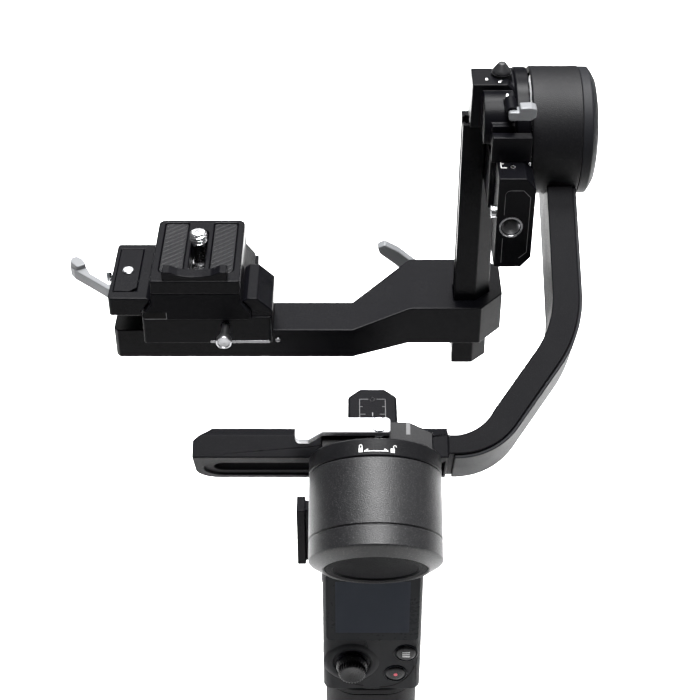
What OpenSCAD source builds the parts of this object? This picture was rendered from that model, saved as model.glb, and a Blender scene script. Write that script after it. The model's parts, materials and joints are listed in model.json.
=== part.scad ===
// Three-axis handheld camera gimbal.
// Frame: origin at the centre of the grip's foot, on the pan axis; +Z up,
// +Y away from the user, +X to the user's right. Millimetres.
// The roll frame has x across, y along the roll axis and z square to both.

/* [Handle] */
// Height of the battery grip, up to the control head
grip_h = 110; // [100:1:120]
// Width of the battery grip
grip_w = 35; // [34:0.5:36]
// Half width of the control head
head_r = 18.2; // [18:0.1:18.5]
// Height of the control head
head_h = 62; // [61:0.5:64]
// Wall of the handle shells
wall = 2; // [1.8:0.1:2.4]

/* [Motors] */
// Radius of the pan motor
pan_r = 21; // [20.5:0.1:21.5]
// Radius of the roll motor
roll_r = 21.5; // [21.2:0.1:21.6]
// Radius of the tilt motor
tilt_r = 22.5; // [22:0.1:22.7]
// Radius of each motor's hollow shaft
shaft_r = 5.5; // [5:0.1:6]

/* [Roll axis] */
// Lean of the roll axis above level
roll_lean = 30; // [29:0.5:31]
// Distance of the roll motor behind the pan axis
roll_back = 43; // [42:0.5:44]
// Height of the roll motor's centre
roll_z = 225; // [224:0.5:226]
// Distance from the roll motor's centre to the tilt axis, along the roll axis
reach = 142; // [141:0.5:143]

/* [Quick release] */
// Width of the camera plate
plate_w = 32.5; // [31:0.5:33]
// Depth of the camera plate, front to back
plate_d = 40.4; // [39:0.2:41]
// Width across the dovetail under the plate
dovetail_w = 39; // [38:0.5:39.5]
// Radius of the camera screw, a quarter inch thread
screw_r = 3.175; // [3.1:0.025:3.25]

/* [Hidden] */
$fn = 96;

gap = 0.06;                          // running gap between moving faces
head_z0 = grip_h;                    // bottom of the control head
head_z1 = head_z0 + head_h;          // top of the control head
rear_y = -17.9;                      // rear face of the head, towards the user
split_y = -10;                       // parting plane of the two head shells
pan_z0 = head_z1;                    // foot of the pan motor
pan_z1 = pan_z0 + 19;                // where the pan rotor starts
pan_z2 = pan_z1 + 5.4;               // top of the pan rotor
bar_z0 = pan_z2 + 5;                 // underside of the pan bar
bar_z1 = bar_z0 + 7.9;               // top of the pan bar
bar_w2 = 9;                          // half width of the pan bar
bar_front = 40.2;                    // front end of the pan bar

ring_a0 = 13.1;                      // rear of the roll rotor ring, along the roll axis
ring_a1 = 19;                        // front of the roll rotor ring
arm_a0 = 19.6;                       // rear face of the slotted bar
arm_a1 = 31;                       // front face of the slotted bar
arm_n0 = -22.2;                      // lower edge of the slotted bar
arm_n1 = -0.4;                       // upper edge of the slotted bar
slot_mid = -12;                     // middle of the bar's slot
slot_r = 3.6;                        // half height of the bar's slot
arm_mid = 24.1;                      // centre line of the bar, along the roll axis

tilt_y = -roll_back + reach * cos(roll_lean);
tilt_z = roll_z + reach * sin(roll_lean);
rotor_x0 = 48.7;                     // left face of the tilt rotor
rotor_x1 = 53.6;                     // right face of the tilt rotor
house_x1 = 71.6;                     // right end of the tilt motor housing
cap_x1 = 77.7;                       // right end of the tilt motor cap

rail_x0 = 31.5;                      // vertical rail, left face
rail_x1 = 45;                        // vertical rail, right face
rail_cut = 5.6;                      // chamfer of the rail, near and right
rail_y0 = 74.4;                      // vertical rail, near face
rail_y1 = 85;                        // vertical rail, far face
rail_z0 = 195;                       // vertical rail, lower end
rail_z1 = 301;                       // vertical rail, upper end
block_z0 = 262.2;                    // slider block, lower face
block_z1 = 298.2;                    // slider block, upper face
slider_y = 56.6;                     // where the block meets the sliding bar

base_z0 = 208.6;                     // underside of the base bar
base_z1 = 221.4;                     // top of the base bar
lblock_z1 = 225.2;                   // top of the base bar's carriage
plate_x = -64.1;                     // centre line of the camera plate
plate_y0 = 50.6;                     // near edge of the camera plate
plate_top = 251.1;                   // top of the camera plate
screw_back = 22.9;                   // camera screw, from the plate's near edge

// ---- helpers -------------------------------------------------------------

// Box between two opposite corners
module slab(lo, hi) translate(lo) cube(hi - lo);

// Rectangle with round corners, centred
module rrect(w, d, r) {
    square([w - 2 * r, d], center = true);
    square([w, d - 2 * r], center = true);
    for (i = [-1, 1], j = [-1, 1]) translate([i * (w / 2 - r), j * (d / 2 - r)]) circle(r);
}

// Cylinder along Y from y0 to y1, at (x, z)
module rod_y(x, z, y0, y1, r) translate([x, y0, z]) rotate([-90, 0, 0]) cylinder(r = r, h = y1 - y0);

// Cylinder along X from x0 to x1, at (y, z)
module rod_x(y, z, x0, x1, r) translate([x0, y, z]) rotate([0, 90, 0]) cylinder(r = r, h = x1 - x0);

// Places the roll frame
module in_roll() translate([0, -roll_back, roll_z]) rotate([roll_lean, 0, 0]) children();

// Turned body about the roll axis, from points of [radius, distance along the axis]
module turned_y(points) rotate([-90, 0, 0]) rotate_extrude() polygon(points);

// Turned body about the tilt axis, from points of [radius, x]
module turned_x(points) translate([0, tilt_y, tilt_z]) rotate([0, 90, 0]) rotate_extrude() polygon(points);

// Outline in the x-y plane pulled up from z0 to z1
module pulled(z0, z1) translate([0, 0, z0]) linear_extrude(z1 - z0) children();

// ---- handle --------------------------------------------------------------

// Plan of the head, drawn in by the distance inset
module head_plan(inset) {
    circle(head_r - inset);
    translate([0, (rear_y + 4) / 2]) rrect(2 * (head_r - inset), -rear_y + 4 - 2 * inset, 3.5 - inset);
}

module grip_shell() color([0.07, 0.07, 0.08]) difference() {
    union() {
        pulled(0, grip_h) rrect(grip_w, 36, 13);
        pulled(grip_h - 3, grip_h) rrect(grip_w + 1, 36.6, 13);
    }
    pulled(12, grip_h - 4) rrect(grip_w - 2 * wall, 36 - 2 * wall, 11);
    pulled(-1, 13) circle(6);
}

module base_insert() color([0.55, 0.56, 0.58]) difference() {
    pulled(0, 11.9) circle(5.95);
    pulled(-1, 10) circle(3.175);
}

module battery_cells() color([0.2, 0.35, 0.5])
    for (j = [-1, 1]) translate([j * 2, j * 7.4, 0]) pulled(14, 79) circle(7.2);

module rear_shell() color([0.08, 0.08, 0.09]) difference() {
    pulled(head_z0 + 0.05, head_z1) head_plan(0);
    pulled(head_z0 + wall, head_z1 - wall) head_plan(wall);
    slab([-30, split_y, head_z0 - 1], [30, 30, head_z1 + 1]);
    slab([-16.6, rear_y - 1, head_z0 + 27.7], [16.6, rear_y + 0.9, head_z1 - 1]);
    slab([-13.3, rear_y - 1, head_z0 + 31.4], [13.3, rear_y + 3, head_z1 - 3.6]);
    rod_y(joy[0], joy[2], rear_y - 1, rear_y + 5, 7);
    rod_y(mode_at[0], mode_at[1], rear_y - 1, rear_y + 5, 4.1);
    rod_y(record_at[0], record_at[1], rear_y - 1, rear_y + 5, 4.4);
}

module front_shell() color([0.08, 0.08, 0.09]) difference() {
    pulled(head_z0 + 0.05, head_z1) head_plan(0);
    pulled(head_z0 + wall, head_z1 - wall) head_plan(wall);
    slab([-30, -30, head_z0 - 1], [30, split_y + 0.02, head_z1 + 1]);
    slab([-5.2, 10, head_z0 + 29], [5.2, 30, head_z0 + 46]);
    slab([-3.2, 10, head_z0 + 14], [3.2, 30, head_z0 + 26]);
    rod_x(2, head_z0 + 42, -30, -10, 3.6);
    for (i = [-1, 1], z = [head_z0 + 8, head_z1 - 10])
        rod_x(-5, z, i > 0 ? head_r - 1 : -30, i > 0 ? 30 : -head_r + 1, 1.45);
}

module display_panel() color([0.12, 0.16, 0.19])
    slab([-13.2, rear_y + 1, head_z0 + 31.5], [13.2, rear_y + 2.4, head_z1 - 3.7]);

module screen_glass() color([0.05, 0.06, 0.07])
    slab([-16.5, rear_y - 0.1, head_z0 + 27.8], [16.5, rear_y + 0.88, head_z1 - 1.1]);

module control_board() color([0.1, 0.35, 0.2])
    slab([-15.5, split_y - 1.6, head_z0 + 4], [15.5, split_y - 0.1, head_z0 + 56]);

module accessory_rail() color([0.1, 0.1, 0.11]) {
    slab([-24.2, -2.6, 163.4], [-20.9, 2.6, 188.6]);
    slab([-27.3, -3.8, 162.5], [-24.2, 3.8, 189.5]);
}

module shell_screws() color([0.3, 0.3, 0.32])
    for (i = [-1, 1], z = [head_z0 + 8, head_z1 - 10])
        rod_x(-5, z, i > 0 ? head_r - 0.9 : -head_r - 0.3, i > 0 ? head_r + 0.3 : -head_r + 0.9, 1.4);

module pan_stator_housing() color([0.1, 0.1, 0.11]) difference() {
    pulled(pan_z0 + 0.02, pan_z1) circle(pan_r - 0.2);
    pulled(pan_z0 + 3, pan_z1 + 1) circle(pan_r - 2.2);
    pulled(pan_z0 - 1, pan_z1) circle(shaft_r + 3);
    slab([-23.6, -2.65, 150], [-pan_r + 0.08, 2.65, 188.65]);
    slab([15, -5, pan_z0 + 8], [30, 5, pan_z0 + 12]);
}

module pan_bearing() color([0.75, 0.75, 0.77]) difference() {
    pulled(pan_z0 + 3.1, pan_z0 + 9) circle(shaft_r + 5);
    pulled(pan_z0 + 3, pan_z0 + 10) circle(shaft_r);
}

// ---- controls ------------------------------------------------------------

joy = [-7.4, -15, head_z0 + 15.1];   // centre about which the thumb stick tips
mode_at = [12.6, head_z0 + 20.4];    // place of the mode button, across and up
record_at = [8.9, head_z0 + 9];      // place of the record button, across and up

module joystick_ring() color([0.2, 0.2, 0.22]) difference() {
    union() {
        rod_y(joy[0], joy[2], -15.9, -14.1, 5.2);
        rod_x(joy[1], joy[2], joy[0] - 6.2, joy[0] + 6.2, 0.7);
    }
    rod_y(joy[0], joy[2], -16, -14, 3.4);
}

module joystick_cap() color([0.12, 0.12, 0.13]) {
    rod_y(joy[0], joy[2], -16.5, -13.5, 1.6);
    rod_y(joy[0], joy[2], -18.6, -16.5, 3);
    translate([joy[0], joy[1], joy[2] - 3.2]) cylinder(r = 0.6, h = 6.4);
    translate([joy[0], -18.5, joy[2]]) rotate([90, 0, 0]) rotate_extrude()
        polygon([[0, 0], [5.6, 0], [6, 0.8], [6, 3], [5, 4.2], [3, 4.9], [0, 5.2]]);
}

module mode_button() color([0.1, 0.1, 0.11]) {
    rod_y(mode_at[0], mode_at[1], rear_y - 0.9, rear_y + 3.2, 3.95);
    slab([mode_at[0] - 5, rear_y + 2.9, mode_at[1] - 2], [mode_at[0] + 3.2, rear_y + 3.9, mode_at[1] + 2]);
}

module record_button() color([0.1, 0.1, 0.11]) {
    rod_y(record_at[0], record_at[1], rear_y - 0.7, rear_y + 3.2, 4.25);
    rod_y(record_at[0], record_at[1], rear_y + 2.9, rear_y + 3.9, 4.9);
}

module trigger() color([0.1, 0.1, 0.11]) {
    translate([-5, 0, 0]) rotate([90, 0, 90]) linear_extrude(10) polygon([
        [13.5, head_z0 + 45.6], [19.5, head_z0 + 45.6], [21.5, head_z0 + 42],
        [20.6, head_z0 + 36], [22.4, head_z0 + 30.4], [17.5, head_z0 + 30.4], [16, head_z0 + 40]]);
    rod_x(13.6, head_z0 + 43.6, -6.4, 6.4, 1.1);
}

module front_dial() color([0.12, 0.12, 0.13]) difference() {
    rod_x(13.5, head_z0 + 20, -3, 3, 5.8);
    for (k = [0:23]) translate([0, 13.5, head_z0 + 20]) rotate([k * 15, 0, 0])
        slab([-3.1, -0.25, 5.4], [3.1, 0.25, 6]);
}

module power_button() color([0.12, 0.12, 0.13]) {
    rod_x(2, head_z0 + 42, -head_r - 0.6, -head_r + 4.4, 3.4);
    rod_x(2, head_z0 + 42, -head_r + 3.6, -head_r + 4.4, 4.4);
}

module pan_lock() color([0.6, 0.6, 0.62])
    slab([pan_r - 2, -2, pan_z0 + 8.1], [pan_r + 1.4, 2, pan_z0 + 11.9]);

// ---- pan stage -----------------------------------------------------------

module pan_rotor() color([0.1, 0.1, 0.11]) difference() {
    union() {
        rotate_extrude() polygon([[0, pan_z1 + gap], [pan_r, pan_z1 + gap],
            [pan_r, pan_z2 - 1], [pan_r - 1, pan_z2], [0, pan_z2]]);
        pulled(pan_z0 + 2, pan_z1 + 1) circle(shaft_r - gap / 2);
    }
    pulled(pan_z0 + 1, pan_z1 + 1) circle(shaft_r - 2);
}

module pan_clamp() color([0.09, 0.09, 0.1]) {
    slab([-15, -15, pan_z2], [15, 15, bar_z0 - gap]);
    for (i = [0, 1]) mirror([i, 0, 0]) rotate([90, 0, 0]) translate([0, 0, -15]) linear_extrude(30)
        polygon([[bar_w2 + gap, bar_z0 - gap], [bar_w2 + gap, bar_z0 + 1.2], [bar_w2 - 1.2, bar_z0 + 2.7],
            [bar_w2 + gap, bar_z0 + 4.2], [bar_w2 + gap, bar_z0 + 6], [15, bar_z0 + 5], [15, bar_z0 - gap]]);
}

module pan_lever() color([0.5, 0.5, 0.52]) {
    translate([15.1, 0, bar_z0]) rotate([0, 90, 0]) cylinder(r = 3.6, h = 3);
    slab([18.1, -4, bar_z0 - 3], [20.6, 4, bar_z0 + 3]);
    slab([18.1, -22, bar_z0 - 2.5], [20.6, -4, bar_z0 + 2.5]);
}

// Side section of the pan bar, half of it, with the V groove that the clamp grips
module bar_half() polygon([[0, bar_z0], [bar_w2, bar_z0], [bar_w2, bar_z0 + 1.1],
    [bar_w2 - 1.3, bar_z0 + 2.7], [bar_w2, bar_z0 + 4.3], [bar_w2, bar_z1 - 0.6],
    [bar_w2 - 0.6, bar_z1], [0, bar_z1]]);

module pan_bar() color([0.1, 0.1, 0.11]) difference() {
    union() {
        rotate([90, 0, 0]) translate([0, 0, -bar_front]) linear_extrude(bar_front + 34) {
            bar_half();
            mirror([1, 0]) bar_half();
        }
        slab([-bar_w2, -46, bar_z0], [bar_w2, -20, bar_z1 + 4]);
    }
    in_roll() rod_y(0, 0, -30, 60, roll_r + 0.02);
    for (i = [-1, 1]) translate([i * bar_w2, bar_front, 0]) rotate([0, 0, 45])
        slab([-3.2, -3.2, bar_z0 - 1], [3.2, 3.2, bar_z1 + 1]);
    slab([-2.2, -16, bar_z0 - 1], [2.2, 30, bar_z0 + 3]);
}

module roll_motor_housing() color([0.1, 0.1, 0.11]) in_roll() turned_y([
    [0, -12], [0, -15.8], [16.6, -15.8], [16.6, -17.8], [17, -18.2], [roll_r - 0.5, -15.8],
    [roll_r, -15.2], [roll_r, -9.2], [roll_r - 0.5, -9], [roll_r - 0.5, -8.6], [roll_r, -8.4],
    [roll_r, 12.6], [roll_r - 0.4, 13], [roll_r - 2, 13], [roll_r - 2, -12]]);

module roll_motor_cap() color([0.12, 0.12, 0.13]) in_roll() turned_y([
    [0, -15.9], [0, -17.4], [13.6, -17.4], [14, -18], [16.2, -18], [16.5, -17.7], [16.5, -15.9]]);

module roll_stator() color([0.65, 0.4, 0.2]) in_roll() difference() {
    rod_y(0, 0, -10, 4, roll_r - 3.5);
    rod_y(0, 0, -11, 5, shaft_r + 3);
    for (k = [0:11]) rotate([0, k * 30, 0]) slab([-1, -11, 11], [1, 5, 20]);
}

module roll_bearing() color([0.75, 0.75, 0.77]) in_roll() difference() {
    rod_y(0, 0, 5, 10, roll_r - 2.1);
    rod_y(0, 0, 4, 11, shaft_r);
}

// ---- roll stage ----------------------------------------------------------

module roll_rotor() color([0.1, 0.1, 0.11]) in_roll() turned_y([
    [0, -8], [shaft_r - gap / 2, -8], [shaft_r - gap / 2, ring_a0], [roll_r - 0.3, ring_a0],
    [roll_r, ring_a0 + 0.3], [roll_r, ring_a1 - 0.5], [roll_r - 0.5, ring_a1], [0, ring_a1]]);

clamp_n1 = 9.3;                      // top of the roll clamp
lever_x = 1.1;                       // pivot of the roll lever, across
lever_a = 25.9;                      // pivot of the roll lever, along the roll axis

module roll_clamp() color([0.09, 0.09, 0.1]) in_roll() difference() {
    union() {
        slab([-17.5, ring_a1, arm_n0 - 1], [18.5, arm_a0 - gap, arm_n1 + gap + 1]);
        rotate([90, 0, 0]) translate([0, 0, -27]) linear_extrude(27 - ring_a1)
            polygon([[-17, arm_n0 - gap], [-9, arm_n0 - 3.4], [9, arm_n0 - 3.4], [17, arm_n0 - gap]]);
        pulled(arm_n1 + gap, clamp_n1) polygon([[-17.5, ring_a1], [-17.5, 28.4], [11, 28.4],
            [18.5, 24.8], [18.5, ring_a1]]);
    }
    translate([lever_x, lever_a, 2]) cylinder(r = 1.6, h = 9);
}

module roll_lever() color([0.86, 0.87, 0.88]) in_roll() difference() {
    pulled(clamp_n1 + 1.05, clamp_n1 + 4.6) {
        translate([lever_x, lever_a]) circle(3.8);
        polygon([[-25.8, 20.6], [-21.6, 20.6], [-17.4, 23.6], [lever_x, 23.6], [lever_x, 28.4], [-25.8, 28.4]]);
    }
    translate([lever_x, lever_a, 2]) cylinder(r = 1.6, h = 20);
}

module roll_lever_screw() color([0.7, 0.7, 0.72]) in_roll() translate([lever_x, lever_a, 0]) {
    pulled(2.2, clamp_n1 + 4.7) circle(1.55);
    pulled(clamp_n1 + 0.02, clamp_n1 + 1) circle(2.9);
    pulled(clamp_n1 + 4.65, clamp_n1 + 5.2) circle(2.4);
}

// ---- roll arm ------------------------------------------------------------

bend1_x = 27;                        // where the first bend starts
bend1_r = 20.3;                      // radius of the first bend
bend1 = 55;                          // angle of the first bend
bend2_r = 43;                        // radius of the second bend
arm_x = 66;                          // centre line of the arm beside the camera
slot_x = -49.8;                      // centre of the slot's left end
bar_x0 = -59.8;                      // left end of the slotted bar
bend2_cx = arm_x - bend2_r;
bend1_ex = bend1_x + bend1_r * sin(bend1);
bend1_ea = arm_mid + bend1_r * (1 - cos(bend1));
bend2_sx = bend2_cx + bend2_r * sin(bend1);
bend2_sa = bend1_ea + (bend2_sx - bend1_ex) * tan(bend1);
bend2_ca = bend2_sa + bend2_r * cos(bend1);
in_thin = -3.2;                      // inner side of the arm at the bar, from its centre line
in_mid = -5.4;                       // inner side of the arm between its bends
in_wide = -5.2;                      // inner side of the arm at the tilt motor
out_thin = 3.3;                      // outer side of the arm at the bar
out_wide = 3.9;                      // outer side of the arm at the tilt motor
cover_t = 1.2;                       // thickness of the arm's cover

// Points along the arm's outer or inner side, offset from its centre line
function arm_side(thin, mid, wide, end) = concat(
    [[24, arm_mid - thin]],
    [for (k = [0:10]) let (t = bend1 * k / 10, r = bend1_r + thin + (mid - thin) * k / 10)
        [bend1_x + r * sin(t), arm_mid + bend1_r - r * cos(t)]],
    [for (k = [0:10]) let (t = bend1 + (90 - bend1) * k / 10, r = bend2_r + mid + (wide - mid) * k / 10)
        [bend2_cx + r * sin(t), bend2_ca - r * cos(t)]],
    [[arm_x + wide, end]]);

function reversed(list) = [for (k = [len(list) - 1:-1:0]) list[k]];

// Strip between two sides of the arm, each given by its offsets from the centre line
module arm_strip(a, b, end)
    polygon(concat(arm_side(b[0], b[1], b[2], end), reversed(arm_side(a[0], a[1], a[2], end))));

// Slot with a round left end, cut from the rear face to the distance a1
module bar_slot(r, a1) {
    slab([slot_x, 10, slot_mid - r], [23, a1, slot_mid + r]);
    rod_y(slot_x, slot_mid, 10, a1, r);
}

// Left end of the bar seen from the rear, rounded below
module bar_end() difference() {
    translate([bar_x0 - 6, arm_a0 - 1, arm_n0 - 1]) cube([14, 20, 9]);
    rod_y(bar_x0 + 8, arm_n0 + 8, 0, 60, 8);
}

module roll_arm() color([0.1, 0.1, 0.11]) difference() {
    union() {
        in_roll() difference() {
            rotate([90, 0, 90]) translate([0, 0, bar_x0]) linear_extrude(24.1 - bar_x0) polygon([
                [arm_a0, arm_n0], [arm_a1 - 2, arm_n0], [arm_a1, arm_n0 + 2],
                [arm_a1, arm_n1 - 3.6], [arm_a1 - 3.6, arm_n1], [arm_a0, arm_n1]]);
            bar_slot(slot_r, 60);
            bar_slot(slot_r + 3.4, arm_a0 + 0.7);
            bar_end();
            translate([bar_x0, arm_a1, 0]) rotate([0, 0, 42]) slab([-4, -4, arm_n0 - 1], [4, 4, arm_n1 + 1]);
        }
        in_roll() translate([0, 0, arm_n0 - 0.3]) linear_extrude(arm_n1 - arm_n0 + 0.8)
            arm_strip([in_thin, in_mid, in_wide], [out_thin, out_thin, out_wide], 132);
    }
    rod_x(tilt_y, tilt_z, 50, 90, tilt_r + 0.02);
}

module arm_cover() color([0.08, 0.08, 0.09]) difference() {
    in_roll() translate([0, 0, arm_n0 + 0.5]) linear_extrude(arm_n1 - arm_n0 - 1)
        arm_strip([for (w = [out_thin, out_thin, out_wide]) w + 0.05],
            [for (w = [out_thin, out_thin, out_wide]) w + cover_t], 140);
    rod_x(tilt_y, tilt_z, 50, 90, tilt_r + 0.02);
    in_roll() slab([20, 10, -30], [26, 40, 10]);
}

module tilt_motor_housing() color([0.1, 0.1, 0.11]) turned_x([
    [shaft_r + 3, rotor_x1 + 10], [shaft_r + 3, rotor_x1 + 8], [tilt_r - 2.5, rotor_x1 + 8],
    [tilt_r - 2.5, rotor_x1 + 1.2], [tilt_r - 0.6, rotor_x1 + 0.6], [tilt_r, rotor_x1 + 1.1],
    [tilt_r, house_x1], [tilt_r - 2, house_x1], [tilt_r - 2, rotor_x1 + 10]]);

module tilt_motor_cap() color([0.1, 0.1, 0.11]) turned_x([
    [0, house_x1 + 0.1], [tilt_r - 0.2, house_x1 + 0.1], [tilt_r - 0.2, house_x1 + 3.4],
    [tilt_r - 1.4, cap_x1 - 1.8], [tilt_r - 3.6, cap_x1 - 0.5], [tilt_r - 6, cap_x1], [0, cap_x1]]);

module tilt_stator() color([0.65, 0.4, 0.2]) translate([0, tilt_y, tilt_z]) difference() {
    rod_x(0, 0, rotor_x1 + 10.1, house_x1 - 1, tilt_r - 4);
    rod_x(0, 0, rotor_x1 + 10, house_x1, shaft_r + 3);
    for (k = [0:11]) rotate([k * 30, 0, 0]) slab([rotor_x1 + 9, -1, 12], [house_x1, 1, 20]);
}

module tilt_bearing() color([0.75, 0.75, 0.77]) translate([0, tilt_y, tilt_z]) difference() {
    rod_x(0, 0, rotor_x1 + 2, rotor_x1 + 7.9, tilt_r - 2.6);
    rod_x(0, 0, rotor_x1 + 1, rotor_x1 + 9, shaft_r);
}

// ---- tilt stage ----------------------------------------------------------

module tilt_rotor() color([0.09, 0.09, 0.1]) turned_x([
    [0, rotor_x0], [tilt_r - 0.8, rotor_x0], [tilt_r - 0.3, rotor_x0 + 0.5], [tilt_r - 0.3, rotor_x1 - 0.3],
    [tilt_r - 0.6, rotor_x1], [shaft_r - gap / 2, rotor_x1], [shaft_r - gap / 2, house_x1 - 6],
    [0, house_x1 - 6]]);

clamp_x0 = 33.6;                     // left face of the tilt clamp
clamp_z1 = 318.6;                    // top of the tilt clamp
guide_x = 47.5;                      // right face of the sliding bar

lever_z = 315.4;                     // pivot of the tilt lever, up
lever_x1 = 46.4;                     // pivot of the tilt lever, across
knob_at = [44.2, 78.5];              // place of the tilt lock, across and away

module tilt_clamp() color([0.09, 0.09, 0.1]) difference() {
    union() {
        intersection() {
            slab([guide_x + gap, 59, 276], [rotor_x0, 101, clamp_z1]);
            rod_x(tilt_y, tilt_z, guide_x, rotor_x0, tilt_r - 0.6);
        }
        slab([guide_x - 1.5, 66, 283 + gap], [guide_x + 0.5, 94, 289 - gap]);
        translate([0, 83.4, 0]) rotate([90, 0, 0]) linear_extrude(83.4 - 71) polygon([
            [clamp_x0, rail_z1 + 1], [clamp_x0 + 0.3, clamp_z1], [46, clamp_z1], [guide_x + 0.5, clamp_z1 - 2],
            [guide_x + 0.5, rail_z1 + 1]]);
        translate([37.5, 0, 0]) rotate([90, 0, 90]) linear_extrude(guide_x + 0.5 - 37.5) {
            intersection() {
                translate([70, 305.4]) circle(11);
                translate([57, 302]) square([14, 15]);
            }
            translate([70, 302]) square([2, 14.4]);
        }
        slab([40, 57.8, 302], [guide_x + 0.5, 72, 310]);
        slab([40, 53.4, block_z1 + gap], [53.6, 57.2, 307.9]);
        slab([45.2, 57, block_z1 + gap], [guide_x + 0.5, 72, 304]);
    }
    rod_y(lever_x1, lever_z, 50, 66, 2.05);
    translate([knob_at[0], knob_at[1], 0]) pulled(clamp_z1 - 3, clamp_z1 + 1) circle(3.3);
}

module tilt_lever() color([0.72, 0.73, 0.75]) {
    rod_y(lever_x1, lever_z, 56.5, 65.9, 2);
    difference() {
        translate([0, 59.9, 0]) rotate([90, 0, 0]) linear_extrude(4.4) polygon([
            [45.2, 313.2], [52.6, 313.2], [54.6, 314.6], [54.6, 317.6], [52.6, 318.2], [45.4, 317.6]]);
        slab([44, 57.8, 312], [48.1, 60, 319]);
    }
}

module tilt_lock() color([0.07, 0.07, 0.08]) translate([knob_at[0], knob_at[1], 0]) {
    pulled(clamp_z1 - 2.9, clamp_z1 + 1) circle(3.2);
    translate([0, 0, clamp_z1 + 1]) rotate_extrude()
        polygon([[0, 0], [3.3, 0], [3.3, 0.7], [1.3, 3.6], [0, 3.8]]);
}

// ---- depth slide, front to back --------------------------------------------

module slider_block() color([0.1, 0.1, 0.11]) difference() {
    translate([0, slider_y, 0]) rotate([90, 0, 0]) linear_extrude(slider_y - 42.9) polygon([
        [42, block_z0], [51.4, block_z0], [54.8, block_z0 + 4.2], [54.8, block_z1 - 4.2],
        [51.4, block_z1], [42, block_z1]]);
    rod_y(47.1, 279, 40, 53.9, screw_r);
    rod_x(46.4, 283.1, 40, 42.6, 2.35);
}

module depth_slider() color([0.1, 0.1, 0.11]) difference() {
    slab([40, slider_y, 278], [guide_x, 104, block_z1]);
    slab([guide_x - 1.5 - gap, 58, 283], [guide_x + 1, 110, 289]);
    pulled(270, 300) rail_plan(0.02);
}

// Section of the vertical rail, grown by g, with its near right corner cut off
module rail_plan(g) polygon([[rail_x0 - g, rail_y0 - g], [rail_x1 - rail_cut, rail_y0 - g],
    [rail_x1 + g, rail_y0 + rail_cut], [rail_x1 + g, rail_y1 + g], [rail_x0 - g, rail_y1 + g]]);

module vertical_rail() color([0.09, 0.09, 0.1]) difference() {
    pulled(rail_z0, rail_z1) rail_plan(0);
    slab([rail_x1 - rail_cut, 70, block_z1], [60, 90, 310]);
    slab([rail_x0 - 1, rail_y0 + 2.6, rail_z0 + 5], [rail_x0 + 2.4, rail_y0 + 6.4, rail_z1 + 1]);
    slab([rail_x0 + 1, rail_y0 + 1.6, rail_z0 + 5], [rail_x0 + 2.4, rail_y0 + 7.4, rail_z1 + 1]);
    rod_x(rail_y1 - 2, 200, rail_x0 - 1, rail_x0 + 2, 1.3);
}

module rail_screw() color([0.8, 0.8, 0.82]) {
    rod_x(rail_y1 - 2, 200, rail_x0 - 0.9, rail_x0 + 1.9, 1.25);
    rod_x(46.4, 283.1, 40.2, 42.5, 2.3);
}

// ---- base bar and quick release ------------------------------------------------

module base_bar() color([0.1, 0.1, 0.11]) difference() {
    intersection() {
        pulled(base_z0 - 1, lblock_z1 + 1) polygon([[-97, 62], [-95.5, 60.4], [-7.2, 60.4], [14, 69],
            [41.4, 69], [50.2, 79], [50.2, 97], [44.6, 102], [15, 102], [-7.2, 78.3], [-93, 78.3], [-97, 75]]);
        translate([0, 110, 0]) rotate([90, 0, 0]) linear_extrude(60) polygon([[-98, base_z0], [-98, base_z1],
            [-7.2, base_z1], [16, lblock_z1], [51, lblock_z1], [51, base_z0]]);
    }
    pulled(base_z0 - 1, lblock_z1 + 1) rail_plan(gap);
    rod_y(25, 216.2, 95, 110, 3.05);
}

module base_lever() color([0.5, 0.51, 0.53]) {
    rod_y(25, 216.2, 96, 102.1, 3);
    translate([0, 102.1, 0]) mirror([0, 1, 0]) rotate([90, 0, 0]) linear_extrude(4) polygon([
        [29.5, 212], [29.5, 220.4], [24, 221.6], [18, 222.4], [11, 228.6], [5.5, 231.8], [2.6, 230.4],
        [3.4, 227.6], [10, 222], [16, 215.6], [22, 212]]);
}

module qr_base() color([0.09, 0.09, 0.1]) difference() {
    union() {
        slab([-84.6, 52.4, base_z1], [-37, 93, 233.4]);
        slab([-44.5, 52.9, 233.3], [-36.6, 75.2, 235.6]);
        translate([0, 75.2, 0]) rotate([90, 0, 0]) linear_extrude(75.2 - 52.9) polygon([
            [-44.5, 235.5], [-44.5, 235.9], [-47.6, 240.1], [-45.6, 241.4], [-42.1, 241.4],
            [-36.6, 236], [-36.6, 235.5]]);
    }
    rod_y(-54, 229.6, 50, 62, 1.5);
    slab([-43.4, 75.2, base_z1 - 1], [-30, 95, 240]);
}

jaw_x0 = -96.6;                      // left face of the side jaw
lever_at = [-91.5, 59.5];            // pivot of the quick release lever

module qr_side_jaw() color([0.1, 0.1, 0.11]) difference() {
    union() {
        slab([jaw_x0, 52.9, 233.6], [-84.65, 88.4, 241.4]);
        translate([0, 88.4, 0]) rotate([90, 0, 0]) linear_extrude(88.4 - 52.9)
            polygon([[-84.7, 236.2], [-84.1, 236.2], [-80.8, 240.5], [-82.5, 241.4], [-84.7, 241.4]]);
    }
    slab([-95, 57.5, 240.3], [-86.4, 85, 242]);
    translate([lever_at[0], lever_at[1], 0]) pulled(235.3, 239.9) circle(4.4);
    slab([jaw_x0 - 1, 55.1, 235.3], [lever_at[0], 67, 239.9]);
}

module qr_cover() color([0.08, 0.08, 0.09]) difference() {
    pulled(240.35, 241.4) polygon([[-94.8, 57.7], [-89, 57.7], [-86.6, 60], [-86.6, 84.8], [-94.8, 84.8]]);
    translate([-90.8, 70.8, 0]) pulled(239, 242) circle(1.6);
}

module cover_screw() color([0.8, 0.8, 0.82]) translate([-90.8, 70.8, 0]) {
    pulled(240.35, 241.4) circle(1.55);
    pulled(241.4, 242) circle(2.2);
}

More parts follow.
